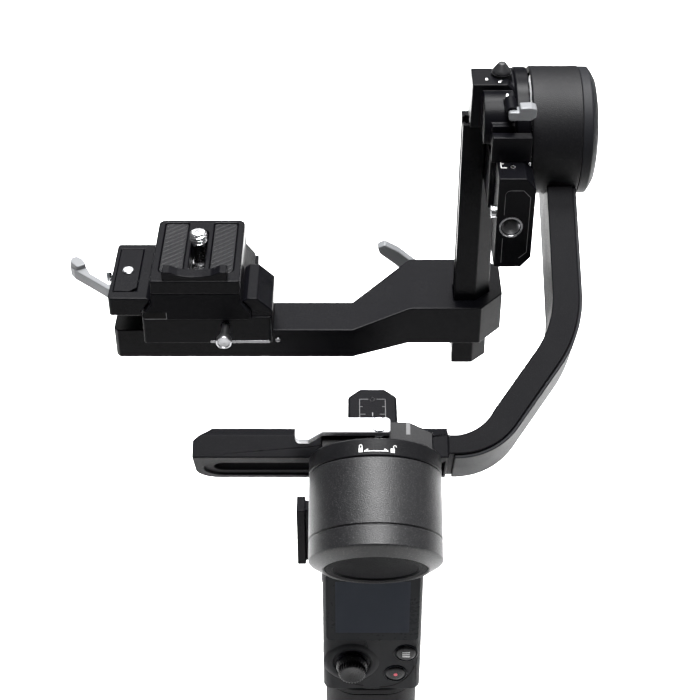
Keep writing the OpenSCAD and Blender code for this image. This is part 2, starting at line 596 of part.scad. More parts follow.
module jaw_pin() color([0.8, 0.8, 0.82]) {
    translate([jaw_x0 - 1.5, 70.2, 237.4]) cylinder(r = 1.1, h = 4.2);
    rod_x(70.2, 238.4, jaw_x0 - 1.6, jaw_x0 - 0.02, 0.8);
}

module qr_lever() color([0.5, 0.51, 0.53]) {
    translate([lever_at[0], lever_at[1], 0]) pulled(235.4, 239.8) circle(4.3);
    pulled(235.4, 239.8) polygon([[-92.5, 57.5], [-98.3, 61.8], [-111.6, 73.6], [-113.6, 76.6],
        [-113.4, 79], [-111.3, 80.4], [-108.6, 78.4], [-105.3, 71.4], [-97.7, 64.6], [-92.5, 63.6]]);
    pulled(239.7, 241.6) polygon([[-111.6, 73.6], [-113.6, 76.6], [-113.4, 79], [-111.3, 80.4],
        [-108.6, 78.4], [-106.8, 74]]);
}

module safety_pin() color([0.85, 0.85, 0.87]) {
    rod_y(-54, 229.6, 44.2, 60, 1.44);
    rod_y(-54, 229.6, 41.6, 44.2, 2.8);
}

// ---- camera plate ----------------------------------------------------------

lower_z0 = 233.5;                    // underside of the lower plate
flare_z = 239.3;                     // where the lower plate's flare ends
lower_z1 = 245;                      // top of the lower plate

module lower_plate() color([0.1, 0.1, 0.11]) difference() {
    translate([plate_x, plate_y0 + plate_d, 0]) rotate([90, 0, 0]) linear_extrude(plate_d) polygon([
        [-dovetail_w / 2, lower_z0], [-dovetail_w / 2, 235.8], [-plate_w / 2, 240.2],
        [-plate_w / 2, lower_z1], [plate_w / 2, lower_z1], [plate_w / 2, 240.2],
        [dovetail_w / 2, 235.8], [dovetail_w / 2, lower_z0]]);
    slab([plate_x - 5, plate_y0 + 7, lower_z0 - 1], [plate_x + 5, plate_y0 + plate_d - 6, lower_z1 + 1]);
}

module upper_plate() color([0.11, 0.11, 0.12]) difference() {
    union() {
        slab([plate_x - plate_w / 2, plate_y0, lower_z1 + 0.02],
            [plate_x + plate_w / 2, plate_y0 + plate_d, plate_top - 0.4]);
        slab([plate_x - 11.8, plate_y0 + 0.2, plate_top - 1], [plate_x + 11.8, plate_y0 + 5, plate_top + 3.4]);
    }
    rod_y(plate_x, plate_top + 1.8 + 20, 40, 60, 20);
    slab([plate_x - 2.9, plate_y0 + 7, lower_z1 - 1], [plate_x + 2.9, plate_y0 + plate_d - 6.5, plate_top + 1]);
    for (i = [-1, 1]) slab([plate_x + i * 9.2 - 4.2, plate_y0 + 5.6, plate_top - 1.6],
        [plate_x + i * 9.2 + 4.2, plate_y0 + plate_d - 2.2, plate_top + 1]);
}

module plate_pads() color([0.06, 0.06, 0.06])
    for (i = [-1, 1]) slab([plate_x + i * 9.2 - 4.15, plate_y0 + 5.65, plate_top - 1.6],
        [plate_x + i * 9.2 + 4.15, plate_y0 + plate_d - 2.25, plate_top]);

module camera_screw() color([0.85, 0.85, 0.87]) translate([plate_x, plate_y0 + screw_back, 0]) {
    pulled(plate_top + 2, plate_top + 5.9) circle(screw_r);
    pulled(lower_z1 - 6, plate_top + 2.1) circle(2.4);
    pulled(lower_z1 - 8, lower_z1 - 2) circle(4.6);
}

grip_shell();
base_insert();
battery_cells();
rear_shell();
front_shell();
display_panel();
screen_glass();
control_board();
accessory_rail();
shell_screws();
pan_stator_housing();
pan_bearing();
joystick_ring();
joystick_cap();
mode_button();
record_button();
trigger();
front_dial();
power_button();
pan_lock();
pan_rotor();
pan_clamp();
pan_lever();
pan_bar();
roll_motor_housing();
roll_motor_cap();
roll_stator();
roll_bearing();
roll_rotor();
roll_clamp();
roll_lever();
roll_lever_screw();
roll_arm();
arm_cover();
tilt_motor_housing();
tilt_motor_cap();
tilt_stator();
tilt_bearing();
tilt_rotor();
tilt_clamp();
tilt_lever();
tilt_lock();
depth_slider();
slider_block();
vertical_rail();
rail_screw();
base_bar();
base_lever();
qr_base();
qr_side_jaw();
qr_cover();
cover_screw();
jaw_pin();
qr_lever();
safety_pin();
lower_plate();
upper_plate();
plate_pads();
camera_screw();
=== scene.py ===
import json
import math

import bmesh
import bpy
from mathutils import Matrix, Vector


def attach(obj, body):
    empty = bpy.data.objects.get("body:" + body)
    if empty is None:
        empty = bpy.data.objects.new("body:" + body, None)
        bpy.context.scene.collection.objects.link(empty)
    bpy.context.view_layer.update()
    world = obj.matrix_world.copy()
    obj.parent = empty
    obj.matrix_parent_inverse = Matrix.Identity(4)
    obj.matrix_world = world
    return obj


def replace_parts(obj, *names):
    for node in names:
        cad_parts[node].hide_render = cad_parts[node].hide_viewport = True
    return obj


# Sizes and places below are millimetres in the part's own frame, unless a comment says otherwise.
MM = 0.001
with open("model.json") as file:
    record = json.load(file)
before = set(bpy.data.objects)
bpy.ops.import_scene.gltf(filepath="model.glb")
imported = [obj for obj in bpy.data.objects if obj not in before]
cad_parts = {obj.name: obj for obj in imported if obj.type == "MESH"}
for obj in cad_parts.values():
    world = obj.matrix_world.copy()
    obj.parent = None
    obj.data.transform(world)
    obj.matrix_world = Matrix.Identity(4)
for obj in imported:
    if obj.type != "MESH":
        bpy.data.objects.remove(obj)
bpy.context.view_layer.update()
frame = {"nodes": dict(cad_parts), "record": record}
BODY_OF = {node: body for body, nodes in frame["record"]["behaviour"]["bodies"].items() for node in nodes}
SLOT_OF = {part["node"]: part["material_slot"] for part in frame["record"]["subparts"]}
JOINT_AT = {joint["name"]: Vector(joint["pos_m"]) / MM
            for joint in frame["record"]["behaviour"]["joints"] if "pos_m" in joint}

HEAD_Z = 110.0          # foot of the control head
REAR_Y = -17.9          # face of the head towards the user
BAR_TOP = 209.3         # top of the pan bar
BAR_NEAR = 60.4         # near face of the base bar
QR_NEAR = 52.4          # near face of the quick release's base
QR_LOW, QR_HIGH = 235.4, 239.8      # foot and top of the quick release's lever
PLATE_X = -64.1         # centre line of the camera plate
PLATE_NEAR = 50.6       # near edge of the camera plate
PLATE_FAR = 91.0        # far edge of the camera plate
PLATE_FOOT = 245.02     # foot of the camera plate
PLATE_TOP = 250.7       # top of the camera plate
WELL_FLOOR = PLATE_TOP - 1.2        # floor of the wells that hold the pads
BELOW_PLATE, ABOVE_PLATE = 240, 255     # clear of the plate, where knives start and end
BLOCK_NEAR = 42.9       # near face of the slider block
BLOCK_TOP = 298.2       # top of the slider block
CLAMP_TOP = 318.6       # top of the tilt clamp
CLAMP_NEAR = 59.9       # near face of the tilt clamp, where its lever stands
CLAMP_HUB = (45.6, 70, 305.4)       # a point on the axis of the tilt clamp's hub
CLAMP_HUB_R = 11        # radius of that hub
ROLL_R = 21.5           # radius of the roll motor and its clamp


# ---- materials ---------------------------------------------------------------

def material(name, colour, rough, metallic=0.0, grain=3000, bump=0.0, mottle=0.0, painted_glint=0.0, specular=0.5,
             spread=0.07):
    """A procedural finish: fine grain in bump and roughness, a slow mottle in colour, optional pale specks in the
    colour as painted glints of the grain.
    """
    mat = bpy.data.materials.new(name)
    mat.use_nodes = True
    nodes, links = mat.node_tree.nodes, mat.node_tree.links
    shader = nodes["Principled BSDF"]
    shader.inputs["Metallic"].default_value = metallic
    shader.inputs["Specular IOR Level"].default_value = specular
    place = nodes.new("ShaderNodeTexCoord")

    def noise(scale, detail):
        made = nodes.new("ShaderNodeTexNoise")
        made.inputs["Scale"].default_value = scale
        made.inputs["Detail"].default_value = detail
        links.new(place.outputs["Object"], made.inputs["Vector"])
        return made

    fine = noise(grain, 2.0)
    slow = noise(70.0, 6.0)
    both = nodes.new("ShaderNodeMath")
    both.operation = "ADD"
    links.new(slow.outputs["Fac"], both.inputs[0])
    links.new(fine.outputs["Fac"], both.inputs[1])
    wear = nodes.new("ShaderNodeMapRange")
    wear.inputs["From Min"].default_value = 0.7
    wear.inputs["From Max"].default_value = 1.3
    wear.inputs["To Min"].default_value = max(rough - spread, 0.02)
    wear.inputs["To Max"].default_value = min(rough + spread, 1.0)
    links.new(both.outputs[0], wear.inputs["Value"])
    links.new(wear.outputs["Result"], shader.inputs["Roughness"])
    tint = nodes.new("ShaderNodeMixRGB")
    tint.inputs["Color1"].default_value = (*[c * (1 - mottle) for c in colour], 1)
    tint.inputs["Color2"].default_value = (*[min(c * (1 + mottle), 1) for c in colour], 1)
    links.new(slow.outputs["Fac"], tint.inputs["Fac"])
    shade = tint.outputs["Color"]
    # Pale flecks mixed into the colour: painted glints standing in for the sparkle of the grain.
    if painted_glint:
        glint = nodes.new("ShaderNodeMapRange")
        glint.inputs["From Min"].default_value = 0.58
        glint.inputs["From Max"].default_value = 0.76
        glint.inputs["To Max"].default_value = painted_glint
        links.new(fine.outputs["Fac"], glint.inputs["Value"])
        spark = nodes.new("ShaderNodeMixRGB")
        spark.inputs["Color2"].default_value = (0.4, 0.4, 0.41, 1)
        links.new(glint.outputs["Result"], spark.inputs["Fac"])
        links.new(shade, spark.inputs["Color1"])
        shade = spark.outputs["Color"]
    links.new(shade, shader.inputs["Base Color"])
    if bump:
        relief = nodes.new("ShaderNodeBump")
        relief.inputs["Strength"].default_value = bump
        relief.inputs["Distance"].default_value = 0.0002    # metres
        links.new(fine.outputs["Fac"], relief.inputs["Height"])
        links.new(relief.outputs["Normal"], shader.inputs["Normal"])
    return mat


FINISHES = {
    "housing_black": dict(colour=(0.007, 0.007, 0.008), rough=0.43, grain=3200, bump=0.5, mottle=0.15,
                          painted_glint=0.14, specular=0.38),
    "casting_black": dict(colour=(0.005, 0.005, 0.0058), rough=0.40, grain=4200, bump=0.3, mottle=0.1,
                          painted_glint=0.02, specular=0.016),
    "clamp_black": dict(colour=(0.0022, 0.0022, 0.003), rough=0.30, grain=6000, bump=0.1, mottle=0.1,
                        specular=0.055),
    "grip_polymer": dict(colour=(0.010, 0.010, 0.011), rough=0.62, grain=2500, bump=0.5, mottle=0.1, specular=0.1),
    "head_polymer": dict(colour=(0.0085, 0.0088, 0.0105), rough=0.50, grain=4000, bump=0.25, mottle=0.1,
                         specular=0.1),
    "control_polymer": dict(colour=(0.004, 0.004, 0.005), rough=0.30, grain=4000, bump=0.1, mottle=0.1,
                            specular=0.2),
    "screen_glass": dict(colour=(0.0065, 0.0075, 0.0095), rough=0.30, grain=900, mottle=0.02, specular=0.06),
    "display": dict(colour=(0.019, 0.0225, 0.031), rough=0.45, grain=900, mottle=0.03, specular=0.04, spread=0.02),
    "board_green": dict(colour=(0.02, 0.12, 0.05), rough=0.45, grain=900, bump=0.1, mottle=0.2),
    "cell_wrap": dict(colour=(0.03, 0.12, 0.3), rough=0.30, grain=900, bump=0.05, mottle=0.1),
    "steel_pale": dict(colour=(0.60, 0.61, 0.63), rough=0.25, metallic=1.0, bump=0.12, mottle=0.06),
    "steel_dark": dict(colour=(0.16, 0.16, 0.165), rough=0.28, metallic=1.0, bump=0.15, mottle=0.1),
    "lever_pale": dict(colour=(0.72, 0.73, 0.75), rough=0.42, metallic=0.25, grain=4500, bump=0.12, mottle=0.05),
    "lever_grey": dict(colour=(0.13, 0.134, 0.14), rough=0.48, metallic=0.3, grain=4500, bump=0.2, mottle=0.06),
    "chrome": dict(colour=(0.80, 0.80, 0.82), rough=0.22, metallic=1.0, grain=2000, bump=0.03, mottle=0.04),
    "copper": dict(colour=(0.5, 0.22, 0.1), rough=0.35, metallic=0.9, grain=1500, bump=0.4, mottle=0.2),
    "pad_rubber": dict(colour=(0.004, 0.004, 0.005), rough=0.36, grain=3500, bump=0.1, mottle=0.1, specular=0.15),
    "lock_black": dict(colour=(0.012, 0.012, 0.013), rough=0.40, grain=4000, bump=0.2, mottle=0.1, specular=0.3),
    "print_white": dict(colour=(0.80, 0.80, 0.80), rough=0.60, grain=4000, bump=0.05, mottle=0.04),
    "print_pale": dict(colour=(0.14, 0.14, 0.145), rough=0.60, grain=4000, bump=0.05, mottle=0.04),
    # Grey: printed marks, and painted highlight on the catch's rim and the block panel's edges.
    "print_and_painted_highlight_grey": dict(colour=(0.07, 0.07, 0.073), rough=0.60, grain=4000, bump=0.05, mottle=0.04),
    # Near-black: the seam below the keys, and painted shade in the catch's notch and the stick's well.
    "black_seam_and_painted_shade": dict(colour=(0.002, 0.002, 0.002), rough=0.80, grain=4000, bump=0.05, mottle=0.04, specular=0.1),
    # Darker, duller copies of a slot's finish: painted shade for parts that catch less of the light.
    "drum_black_painted_shade": dict(colour=(0.005, 0.005, 0.0058), rough=0.44, bump=0.5, mottle=0.1, painted_glint=0.02, specular=0.1),
    "cap_black_painted_shade": dict(colour=(0.006, 0.006, 0.007), rough=0.42, bump=0.5, mottle=0.1, specular=0.01),
    "pin_steel": dict(colour=(0.30, 0.30, 0.31), rough=0.32, metallic=1.0, bump=0.1, mottle=0.06),
    "mark_red": dict(colour=(0.55, 0.03, 0.06), rough=0.40, grain=4000, bump=0.05, mottle=0.05),
}
FINISH = {name: material(name, **values) for name, values in FINISHES.items()}


# ---- building blocks -----------------------------------------------------------

def settle(piece, name, finish, body):
    """Names, dresses and rides one finished piece."""
    piece.name = name
    piece.data.name = name
    piece.data.materials.clear()
    piece.data.materials.append(FINISH[finish])
    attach(piece, body)
    return piece


def apply_modifiers(piece):
    """Turns a piece's modifiers into its mesh."""
    bpy.context.view_layer.update()
    depsgraph = bpy.context.evaluated_depsgraph_get()
    done = bpy.data.meshes.new_from_object(piece.evaluated_get(depsgraph), depsgraph=depsgraph)
    piece.modifiers.clear()
    piece.data = done


def smooth(piece, angle=40):
    """Smooth shading, with edges above the angle kept sharp."""
    for face in piece.data.polygons:
        face.use_smooth = True
    piece.data.set_sharp_from_angle(angle=math.radians(angle))


def ease_edges(piece, width, angle=38):
    """Rounds every edge sharper than the angle by width."""
    bevel = piece.modifiers.new("bevel", "BEVEL")
    bevel.width = width * MM
    bevel.segments = 3
    bevel.limit_method = "ANGLE"
    bevel.angle_limit = math.radians(angle)
    bevel.use_clamp_overlap = False
    weigh = piece.modifiers.new("weigh", "WEIGHTED_NORMAL")
    weigh.keep_sharp = True
    weigh.weight = 80
    smooth(piece)
    apply_modifiers(piece)


def solid(name, verts, faces, place, finish=None, body=None, ease=0.0, angle=38):
    """A piece from points and faces, set in place with its edges eased; without a finish it is left bare."""
    mesh = bpy.data.meshes.new(name)
    mesh.from_pydata([place @ Vector(v) for v in verts], [], faces)
    bm = bmesh.new()
    bm.from_mesh(mesh)
    bmesh.ops.recalc_face_normals(bm, faces=bm.faces)
    bm.to_mesh(mesh)
    bm.free()
    piece = bpy.data.objects.new(name, mesh)
    bpy.context.scene.collection.objects.link(piece)
    if ease:
        ease_edges(piece, ease, angle)
    else:
        smooth(piece, angle)
    return settle(piece, name, finish, body) if finish else piece


def rings_of_faces(rows, around):
    """Faces of a tube of points, in rows of the same count, row after row."""
    faces = []
    for i in range(rows - 1):
        for k in range(around):
            m = (k + 1) % around
            faces.append([i * around + k, i * around + m, (i + 1) * around + m, (i + 1) * around + k])
    return faces


def prism(name, outline, low, high, place, finish=None, body=None, ease=0.0):
    """An outline in x-y, pulled from low to high."""
    n = len(outline)
    verts = [(x, y, h) for h in (low, high) for x, y in outline]
    faces = [list(range(n)), list(range(n, 2 * n))]
    faces += [[i, (i + 1) % n, n + (i + 1) % n, n + i] for i in range(n)]
    return solid(name, verts, faces, place, finish, body, ease)


def turned(name, profile, place, finish=None, body=None, steps=96, ease=0.0, angle=30, lobes=None, capped=True):
    """A profile of (radius, height) points swept about z.

    lobes(angle, radius) may scale the radius; capped closes the ends that are not on the axis."""
    verts = []
    for r, h in profile:
        for k in range(steps):
            t = 2 * math.pi * k / steps
            s = lobes(t, r) if lobes else 1.0
            verts.append((r * s * math.cos(t), r * s * math.sin(t), h))
    faces = rings_of_faces(len(profile), steps)
    if capped and profile[0][0] > 0.01:
        faces.append(list(range(steps)))
    if capped and profile[-1][0] > 0.01:
        faces.append([(len(profile) - 1) * steps + k for k in range(steps)])
    return solid(name, verts, faces, place, finish, body, ease, angle)


def rounded(outline, radius, steps=6):
    """An outline with its corners rounded; radius is one value or one for each corner."""
    count = len(outline)
    radii = radius if isinstance(radius, (list, tuple)) else [radius] * count
    out = []
    for i, (point, r) in enumerate(zip(outline, radii)):
        here = Vector(point)
        back = (Vector(outline[i - 1]) - here).normalized()
        ahead = (Vector(outline[(i + 1) % count]) - here).normalized()
        if r <= 0:
            out.append(tuple(here))
            continue
        half = back.angle(ahead) / 2
        start, end = here + back * r / math.tan(half), here + ahead * r / math.tan(half)
        centre = here + (back + ahead).normalized() * r / math.sin(half)
        a0 = math.atan2(start.y - centre.y, start.x - centre.x)
        a1 = math.atan2(end.y - centre.y, end.x - centre.x)
        turn = (a1 - a0 + math.pi) % (2 * math.pi) - math.pi
        out += [(centre.x + r * math.cos(a0 + turn * k / steps), centre.y + r * math.sin(a0 + turn * k / steps))
                for k in range(steps + 1)]
    return out


def box_outline(x0, y0, x1, y1):
    """An upright rectangle, from its lower left corner round."""
    return [(x0, y0), (x1, y0), (x1, y1), (x0, y1)]


def printed(name, lines, width, place, body, finish="print_white", height=0.03):
    """Flat printed strokes, each a list of points, lying height above a surface."""
    verts, faces = [], []
    for line in lines:
        for p, q in zip(line, line[1:]):
            p, q = Vector(p), Vector(q)
            along = (q - p).normalized() * width / 2
            aside = Vector((-along.y, along.x))
            n = len(verts)
            corners = (p - along - aside, q + along - aside, q + along + aside, p - along + aside)
            verts += [(c.x, c.y, h) for h in (-0.2, height) for c in corners]
            faces += [[n, n + 1, n + 2, n + 3], [n + 4, n + 5, n + 6, n + 7]]
            faces += [[n + i, n + (i + 1) % 4, n + 4 + (i + 1) % 4, n + 4 + i] for i in range(4)]
    return solid(name, verts, faces, place, finish, body)


def arc(cx, cy, r, start, end, steps=12, squeeze=1.0):
    """Points of an arc, angles in degrees; squeeze narrows it across."""
    turn = [math.radians(start + (end - start) * k / steps) for k in range(steps + 1)]
    return [(cx + r * squeeze * math.cos(t), cy + r * math.sin(t)) for t in turn]


def zero(x, y, r):
    """A printed zero: the strokes of a narrow ring."""
    return [arc(x, y, r, 0, 360, 20, 0.8)]


def cut(piece, *cutters):
    """Cuts the cutters out of a piece and removes them."""
    for cutter in cutters:
        knife = piece.modifiers.new("cut", "BOOLEAN")
        knife.operation = "DIFFERENCE"
        knife.solver = "EXACT"
        knife.object = cutter
    apply_modifiers(piece)
    for cutter in cutters:
        bpy.data.objects.remove(cutter)


def along_edge(edge, axis, picks, shortest=1.5, reach=0.25):
    """Whether an edge runs along the axis through one of the picked points of the other two coordinates."""
    a, b = (v.co / MM for v in edge.verts)
    others = [i for i in range(3) if i != axis]
    if abs(a[axis] - b[axis]) < shortest:
        return False
    return any(all(abs(v[i] - p) < reach for v in (a, b) for i, p in zip(others, pick)) for pick in picks)


WORLD = Matrix.Scale(MM, 4)
ROLL = Matrix.Translation(JOINT_AT["roll_turn"] * MM) @ Matrix.Rotation(math.radians(30), 4, "X") @ WORLD


def on(origin, right, up, base=WORLD):
    """Frame on a surface: x runs right, y up and z out of it; origin and directions are in the base frame."""
    x = Vector(right).normalized()
    z = x.cross(Vector(up)).normalized()
    turn = Matrix((x, z.cross(x), z)).transposed().to_4x4()
    return base @ Matrix.Translation(Vector(origin)) @ turn


def near_face(x, z, y):
    """Frame on an upright face towards the user, which lies at y."""
    return on((x, y, z), (1, 0, 0), (0, 0, 1))


def rear_face(x, z, y=REAR_Y):
    """The same on the head, whose face towards the user is its rear."""
    return near_face(x, z, y)


def top_face(z):
    """Frame on a level top, its origin over the part's own."""
    return on((0, 0, z), (1, 0, 0), (0, 1, 0))


# ---- nodes finished as they come from CAD -----------------------------------------

# Nodes given a darker, duller finish than their slot's: painted shade where they should catch less of the light.
PAINTED_SHADE_LOOK = {"tilt_motor_housing": "drum_black_painted_shade", "roll_rotor": "drum_black_painted_shade", "roll_motor_cap": "cap_black_painted_shade",
        "lower_plate": "casting_black"}
# How far edges are rounded, and the nodes where that isn't the usual.
USUAL_EASE = 0.3
EASE = {
    "roll_arm": 0.4, "arm_cover": 0.35, "roll_motor_housing": 0.12, "roll_motor_cap": 0.12,
    "tilt_motor_housing": 0.15, "roll_rotor": 0.15, "pan_bar": 0.35, "base_bar": 0.4, "qr_base": 0.4,
    "qr_side_jaw": 0.45, "lower_plate": 0.35, "depth_slider": 0.4, "tilt_clamp": 0.4, "roll_clamp": 0.35,
    "slider_block": 0.4, "base_lever": 0.5, "grip_shell": 0.5, "qr_cover": 0.12, "trigger": 0.8,
    "front_dial": 0.1, "shell_screws": 0.1, "jaw_pin": 0.15, "rail_screw": 0.2, "roll_lever_screw": 0.2,
}
# Upright edges with a larger radius, as finish_node takes them.
CORNERS = {
    "qr_side_jaw": [(2, 1.6, [(-96.6, 52.9), (-96.6, 88.4), (-84.65, 88.4)])],
    "qr_base": [(2, 1.2, [(-84.6, 52.4), (-37, 52.4)])],
}
# Nodes that are made anew below.
REBUILT = {"upper_plate", "plate_pads", "camera_screw", "joystick_cap", "mode_button", "record_button",
           "display_panel", "screen_glass", "safety_pin", "cover_screw", "roll_lever", "qr_lever",
           "tilt_lever"}


def finish_node(node, width, corners):
    """A copy of a CAD node with its edges eased, standing in for the node.

    corners holds (axis, radius, points) rows: edges along that axis through those points get the larger radius."""
    cad = frame["nodes"][node]
    piece = bpy.data.objects.new(node + "_finished", cad.data.copy())
    bpy.context.scene.collection.objects.link(piece)
    bm = bmesh.new()
    bm.from_mesh(piece.data)
    bmesh.ops.remove_doubles(bm, verts=bm.verts, dist=0.002 * MM)
    bmesh.ops.dissolve_limit(bm, angle_limit=math.radians(0.4), verts=bm.verts, edges=bm.edges)
    for axis, radius, points in corners:
        picked = [edge for edge in bm.edges if along_edge(edge, axis, points)]
        bmesh.ops.bevel(bm, geom=picked, offset=radius * MM, segments=6, profile=0.5, affect="EDGES",
                        clamp_overlap=False)
    bm.to_mesh(piece.data)
    bm.free()
    ease_edges(piece, width)
    settle(piece, node + "_finished", PAINTED_SHADE_LOOK.get(node, SLOT_OF[node]), BODY_OF[node])
    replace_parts(piece, node)


# ---- camera plate ------------------------------------------------------------------

def pad_outline(side, inset=0.0):
    """Outline of one pad; its near outer corner is the rounder one."""
    near, far = PLATE_NEAR + 5.7 + inset, PLATE_FAR - 2.3 - inset
    inner, outer = PLATE_X + side * (5.0 + inset), PLATE_X + side * (13.4 - inset)
    return rounded([(outer, near), (outer, far), (inner, far), (inner, near)], [2.4, 0.8, 0.8, 0.6])


def build_plate(half=16.25, slot_half=2.9, well_play=0.25):
    """The camera plate with its slot and the pads' wells, and the lip that stands at its near edge."""
    outline = rounded(box_outline(PLATE_X - half, PLATE_NEAR, PLATE_X + half, PLATE_FAR), [0.8, 0.8, 2.6, 2.6])
    body = prism("upper_plate_finished", outline, PLATE_FOOT, PLATE_TOP, WORLD)
    slot_outline = box_outline(PLATE_X - slot_half, PLATE_NEAR + 7, PLATE_X + slot_half, PLATE_FAR - 6.5)
    slot = prism("slot_knife", rounded(slot_outline, 2.8), BELOW_PLATE, ABOVE_PLATE, WORLD)
    wells = [prism("well_knife", pad_outline(side, -well_play), WELL_FLOOR, ABOVE_PLATE, WORLD) for side in (-1, 1)]
    cut(body, slot, *wells)
    ease_edges(body, 0.4)
    settle(body, "upper_plate_finished", "clamp_black", "plate")
    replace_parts(body, "upper_plate")

    lip = [(-11.8, 0), (11.8, 0), (11.8, 3.9), (9.2, 3.9), (6, 2.5), (2.4, 1.9), (0, 1.8),
           (-2.4, 1.9), (-6, 2.5), (-9.2, 3.9), (-11.8, 3.9)]
    prism("plate_lip", rounded(lip, [0, 0, 0.6, 1, 3, 3, 3, 3, 3, 1, 0.6], 3), -2.4, 2.4,
          near_face(PLATE_X, PLATE_TOP - 0.2, PLATE_NEAR + 2.8), "clamp_black", "plate", 0.25)


def build_pad(side, columns=40, rows=190, pitch=2.2, lean=38):
    """A rubber pad with slanting ridges on a fine grid; side is -1 for the left one and 1 for the right one."""
    where = "left" if side < 0 else "right"
    outline = pad_outline(side)
    pad = prism("pad_" + where, outline, WELL_FLOOR, PLATE_TOP - 0.35, WORLD, "pad_rubber", "plate", 0.15)
    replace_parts(pad, "plate_pads")
    x0, x1 = min(p[0] for p in outline) + 0.5, max(p[0] for p in outline) - 0.5
    y0, y1 = min(p[1] for p in outline) + 0.6, max(p[1] for p in outline) - 0.6
    slant = math.radians(lean)
    verts, faces = [], []
    for j in range(rows + 1):
        for i in range(columns + 1):
            x = x0 + (x1 - x0) * i / columns
            y = y0 + (y1 - y0) * j / rows
            wave = ((y * math.cos(slant) - x * math.sin(slant)) / pitch) % 1.0
            rise = min(1.0, max(0.0, 2.4 * min(wave, 1 - wave) - 0.15))
            verts.append((x, y, PLATE_TOP - 0.5 + 0.6 * rise))
    for j in range(rows):
        for i in range(columns):
            n = j * (columns + 1) + i
            faces.append([n, n + 1, n + columns + 2, n + columns + 1])
    solid("ridges_" + where, verts, faces, WORLD, "pad_rubber", "plate", angle=60)


def screw_thread(name, major, minor, low, high, pitch, place, finish, body, around=48):
    """A helical thread of rounded teeth between the two radii, shallower at its upper end."""
    rows = int((high - low) / pitch * 12)
    verts = []
    for j in range(rows + 1):
        h = low + (high - low) * j / rows
        fade = min(1.0, (high - h) / 0.5 + 0.35)
        for k in range(around):
            wave = (h / pitch - k / around) % 1.0
            tooth = 0.5 - 0.5 * math.cos(2 * math.pi * wave)
            r = minor + (major - minor) * fade * min(1.0, tooth * 1.35)
            t = 2 * math.pi * k / around
            verts.append((r * math.cos(t), r * math.sin(t), h))
    faces = rings_of_faces(rows + 1, around)
    faces += [list(range(around)), [rows * around + k for k in range(around)]]
    solid(name, verts, faces, place, finish, body, angle=50)


def build_camera_screw(major=3.175, minor=2.45, pitch=1.27, slot_half=0.35):
    """The camera screw: head and neck, 1/4 inch thread, and slotted end."""
    place = Matrix.Translation(JOINT_AT["screw_turn"] * MM) @ WORLD
    neck = turned("camera_screw_finished",
                  [(0, -8), (4.4, -8), (4.6, -7.7), (4.6, -3.4), (4.3, -3), (3.1, -3), (3.1, -1.4),
                   (2.9, -1.2), (2.3, -1.2), (2.3, 7.6), (2.8, 8.0), (2.8, 8.3), (0, 8.3)],
                  place, "chrome", "screw")
    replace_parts(neck, "camera_screw")
    screw_thread("camera_screw_thread", major, minor, 8.1, 11.5, pitch, place, "chrome", "screw")
    top = turned("camera_screw_top", [(0, 11.2), (2.65, 11.2), (2.65, 11.6), (2.35, 11.9), (0, 12.0)], place)
    cut(top, prism("slot_knife", box_outline(-4, -slot_half, 4, slot_half), 11.3, 13, place))
    smooth(top, 30)
    settle(top, "camera_screw_top", "chrome", "screw")


# ---- quick release and base bar ---------------------------------------------------------

def slotted_head(name, radius, height, place, finish, body, slot=0.45):
    """A low round screw head with a straight slot."""
    profile = [(0, -0.6), (radius, -0.6), (radius, height * 0.6), (radius * 0.86, height), (0, height * 1.05)]
    head = turned(name, profile, place, steps=48)
    blade = box_outline(-radius * 1.1, -slot / 2, radius * 1.1, slot / 2)
    cut(head, prism("slot_knife", blade, height * 0.35, height * 2, place))
    smooth(head, 30)
    return settle(head, name, finish, body)


def build_cover_screw():
    """The slotted screw on top of the quick release's cover."""
    centre, along_slot, across_slot = (-90.8, 70.8, 241.4), (0.9, 0.45, 0), (-0.45, 0.9, 0)
    place = on(centre, along_slot, across_slot)
    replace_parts(slotted_head("cover_screw_finished", 2.1, 0.55, place, "steel_pale", "base_stage"), "cover_screw")


def build_safety_pin():
    """The pull pin, standing out towards the user."""
    pin = turned("safety_pin_finished",
                 [(0, -1), (1.44, -1), (1.44, 14.4), (1.9, 14.6), (2.7, 14.9), (2.8, 15.1), (2.8, 17.0),
                  (2.5, 17.4), (2.1, 17.4), (1.9, 17.1), (0, 16.9)],
                 near_face(-54, 229.6, 59), "pin_steel", "pull_pin", steps=64)
    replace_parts(pin, "safety_pin")


def build_qr_lever(pivot=(-91.5, 59.5), hub_r=4.2, tip_low=239.0, tip_high=241.6):
    """The quick release's lever: arm, raised tip and hub."""
    outline = [(-92.5, 57.5), (-98.3, 61.8), (-111.6, 73.6), (-113.6, 76.6), (-113.4, 79.0), (-111.3, 80.4),
               (-108.6, 78.4), (-105.3, 71.4), (-97.7, 64.6), (-92.5, 63.6)]
    tip = [(-110.4, 73.0), (-113.4, 76.4), (-113.3, 79.0), (-111.3, 80.2), (-108.8, 78.2), (-107.2, 74.9)]
    arm = prism("qr_lever_finished", rounded(outline, [0, 2, 1.2, 1.0, 1.0, 1.0, 1.2, 2, 2, 0]), QR_LOW, QR_HIGH,
                WORLD, "lever_grey", "qr_clamp_lever", 0.35)
    prism("qr_lever_tip", rounded(tip, 0.7), tip_low, tip_high, WORLD, "lever_grey", "qr_clamp_lever", 0.35)
    turned("qr_lever_hub", [(0, QR_LOW), (hub_r, QR_LOW), (hub_r, QR_HIGH), (0, QR_HIGH)],
           Matrix.Translation((pivot[0] * MM, pivot[1] * MM, 0)) @ WORLD, "lever_grey", "qr_clamp_lever", ease=0.2)
    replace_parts(arm, "qr_lever")


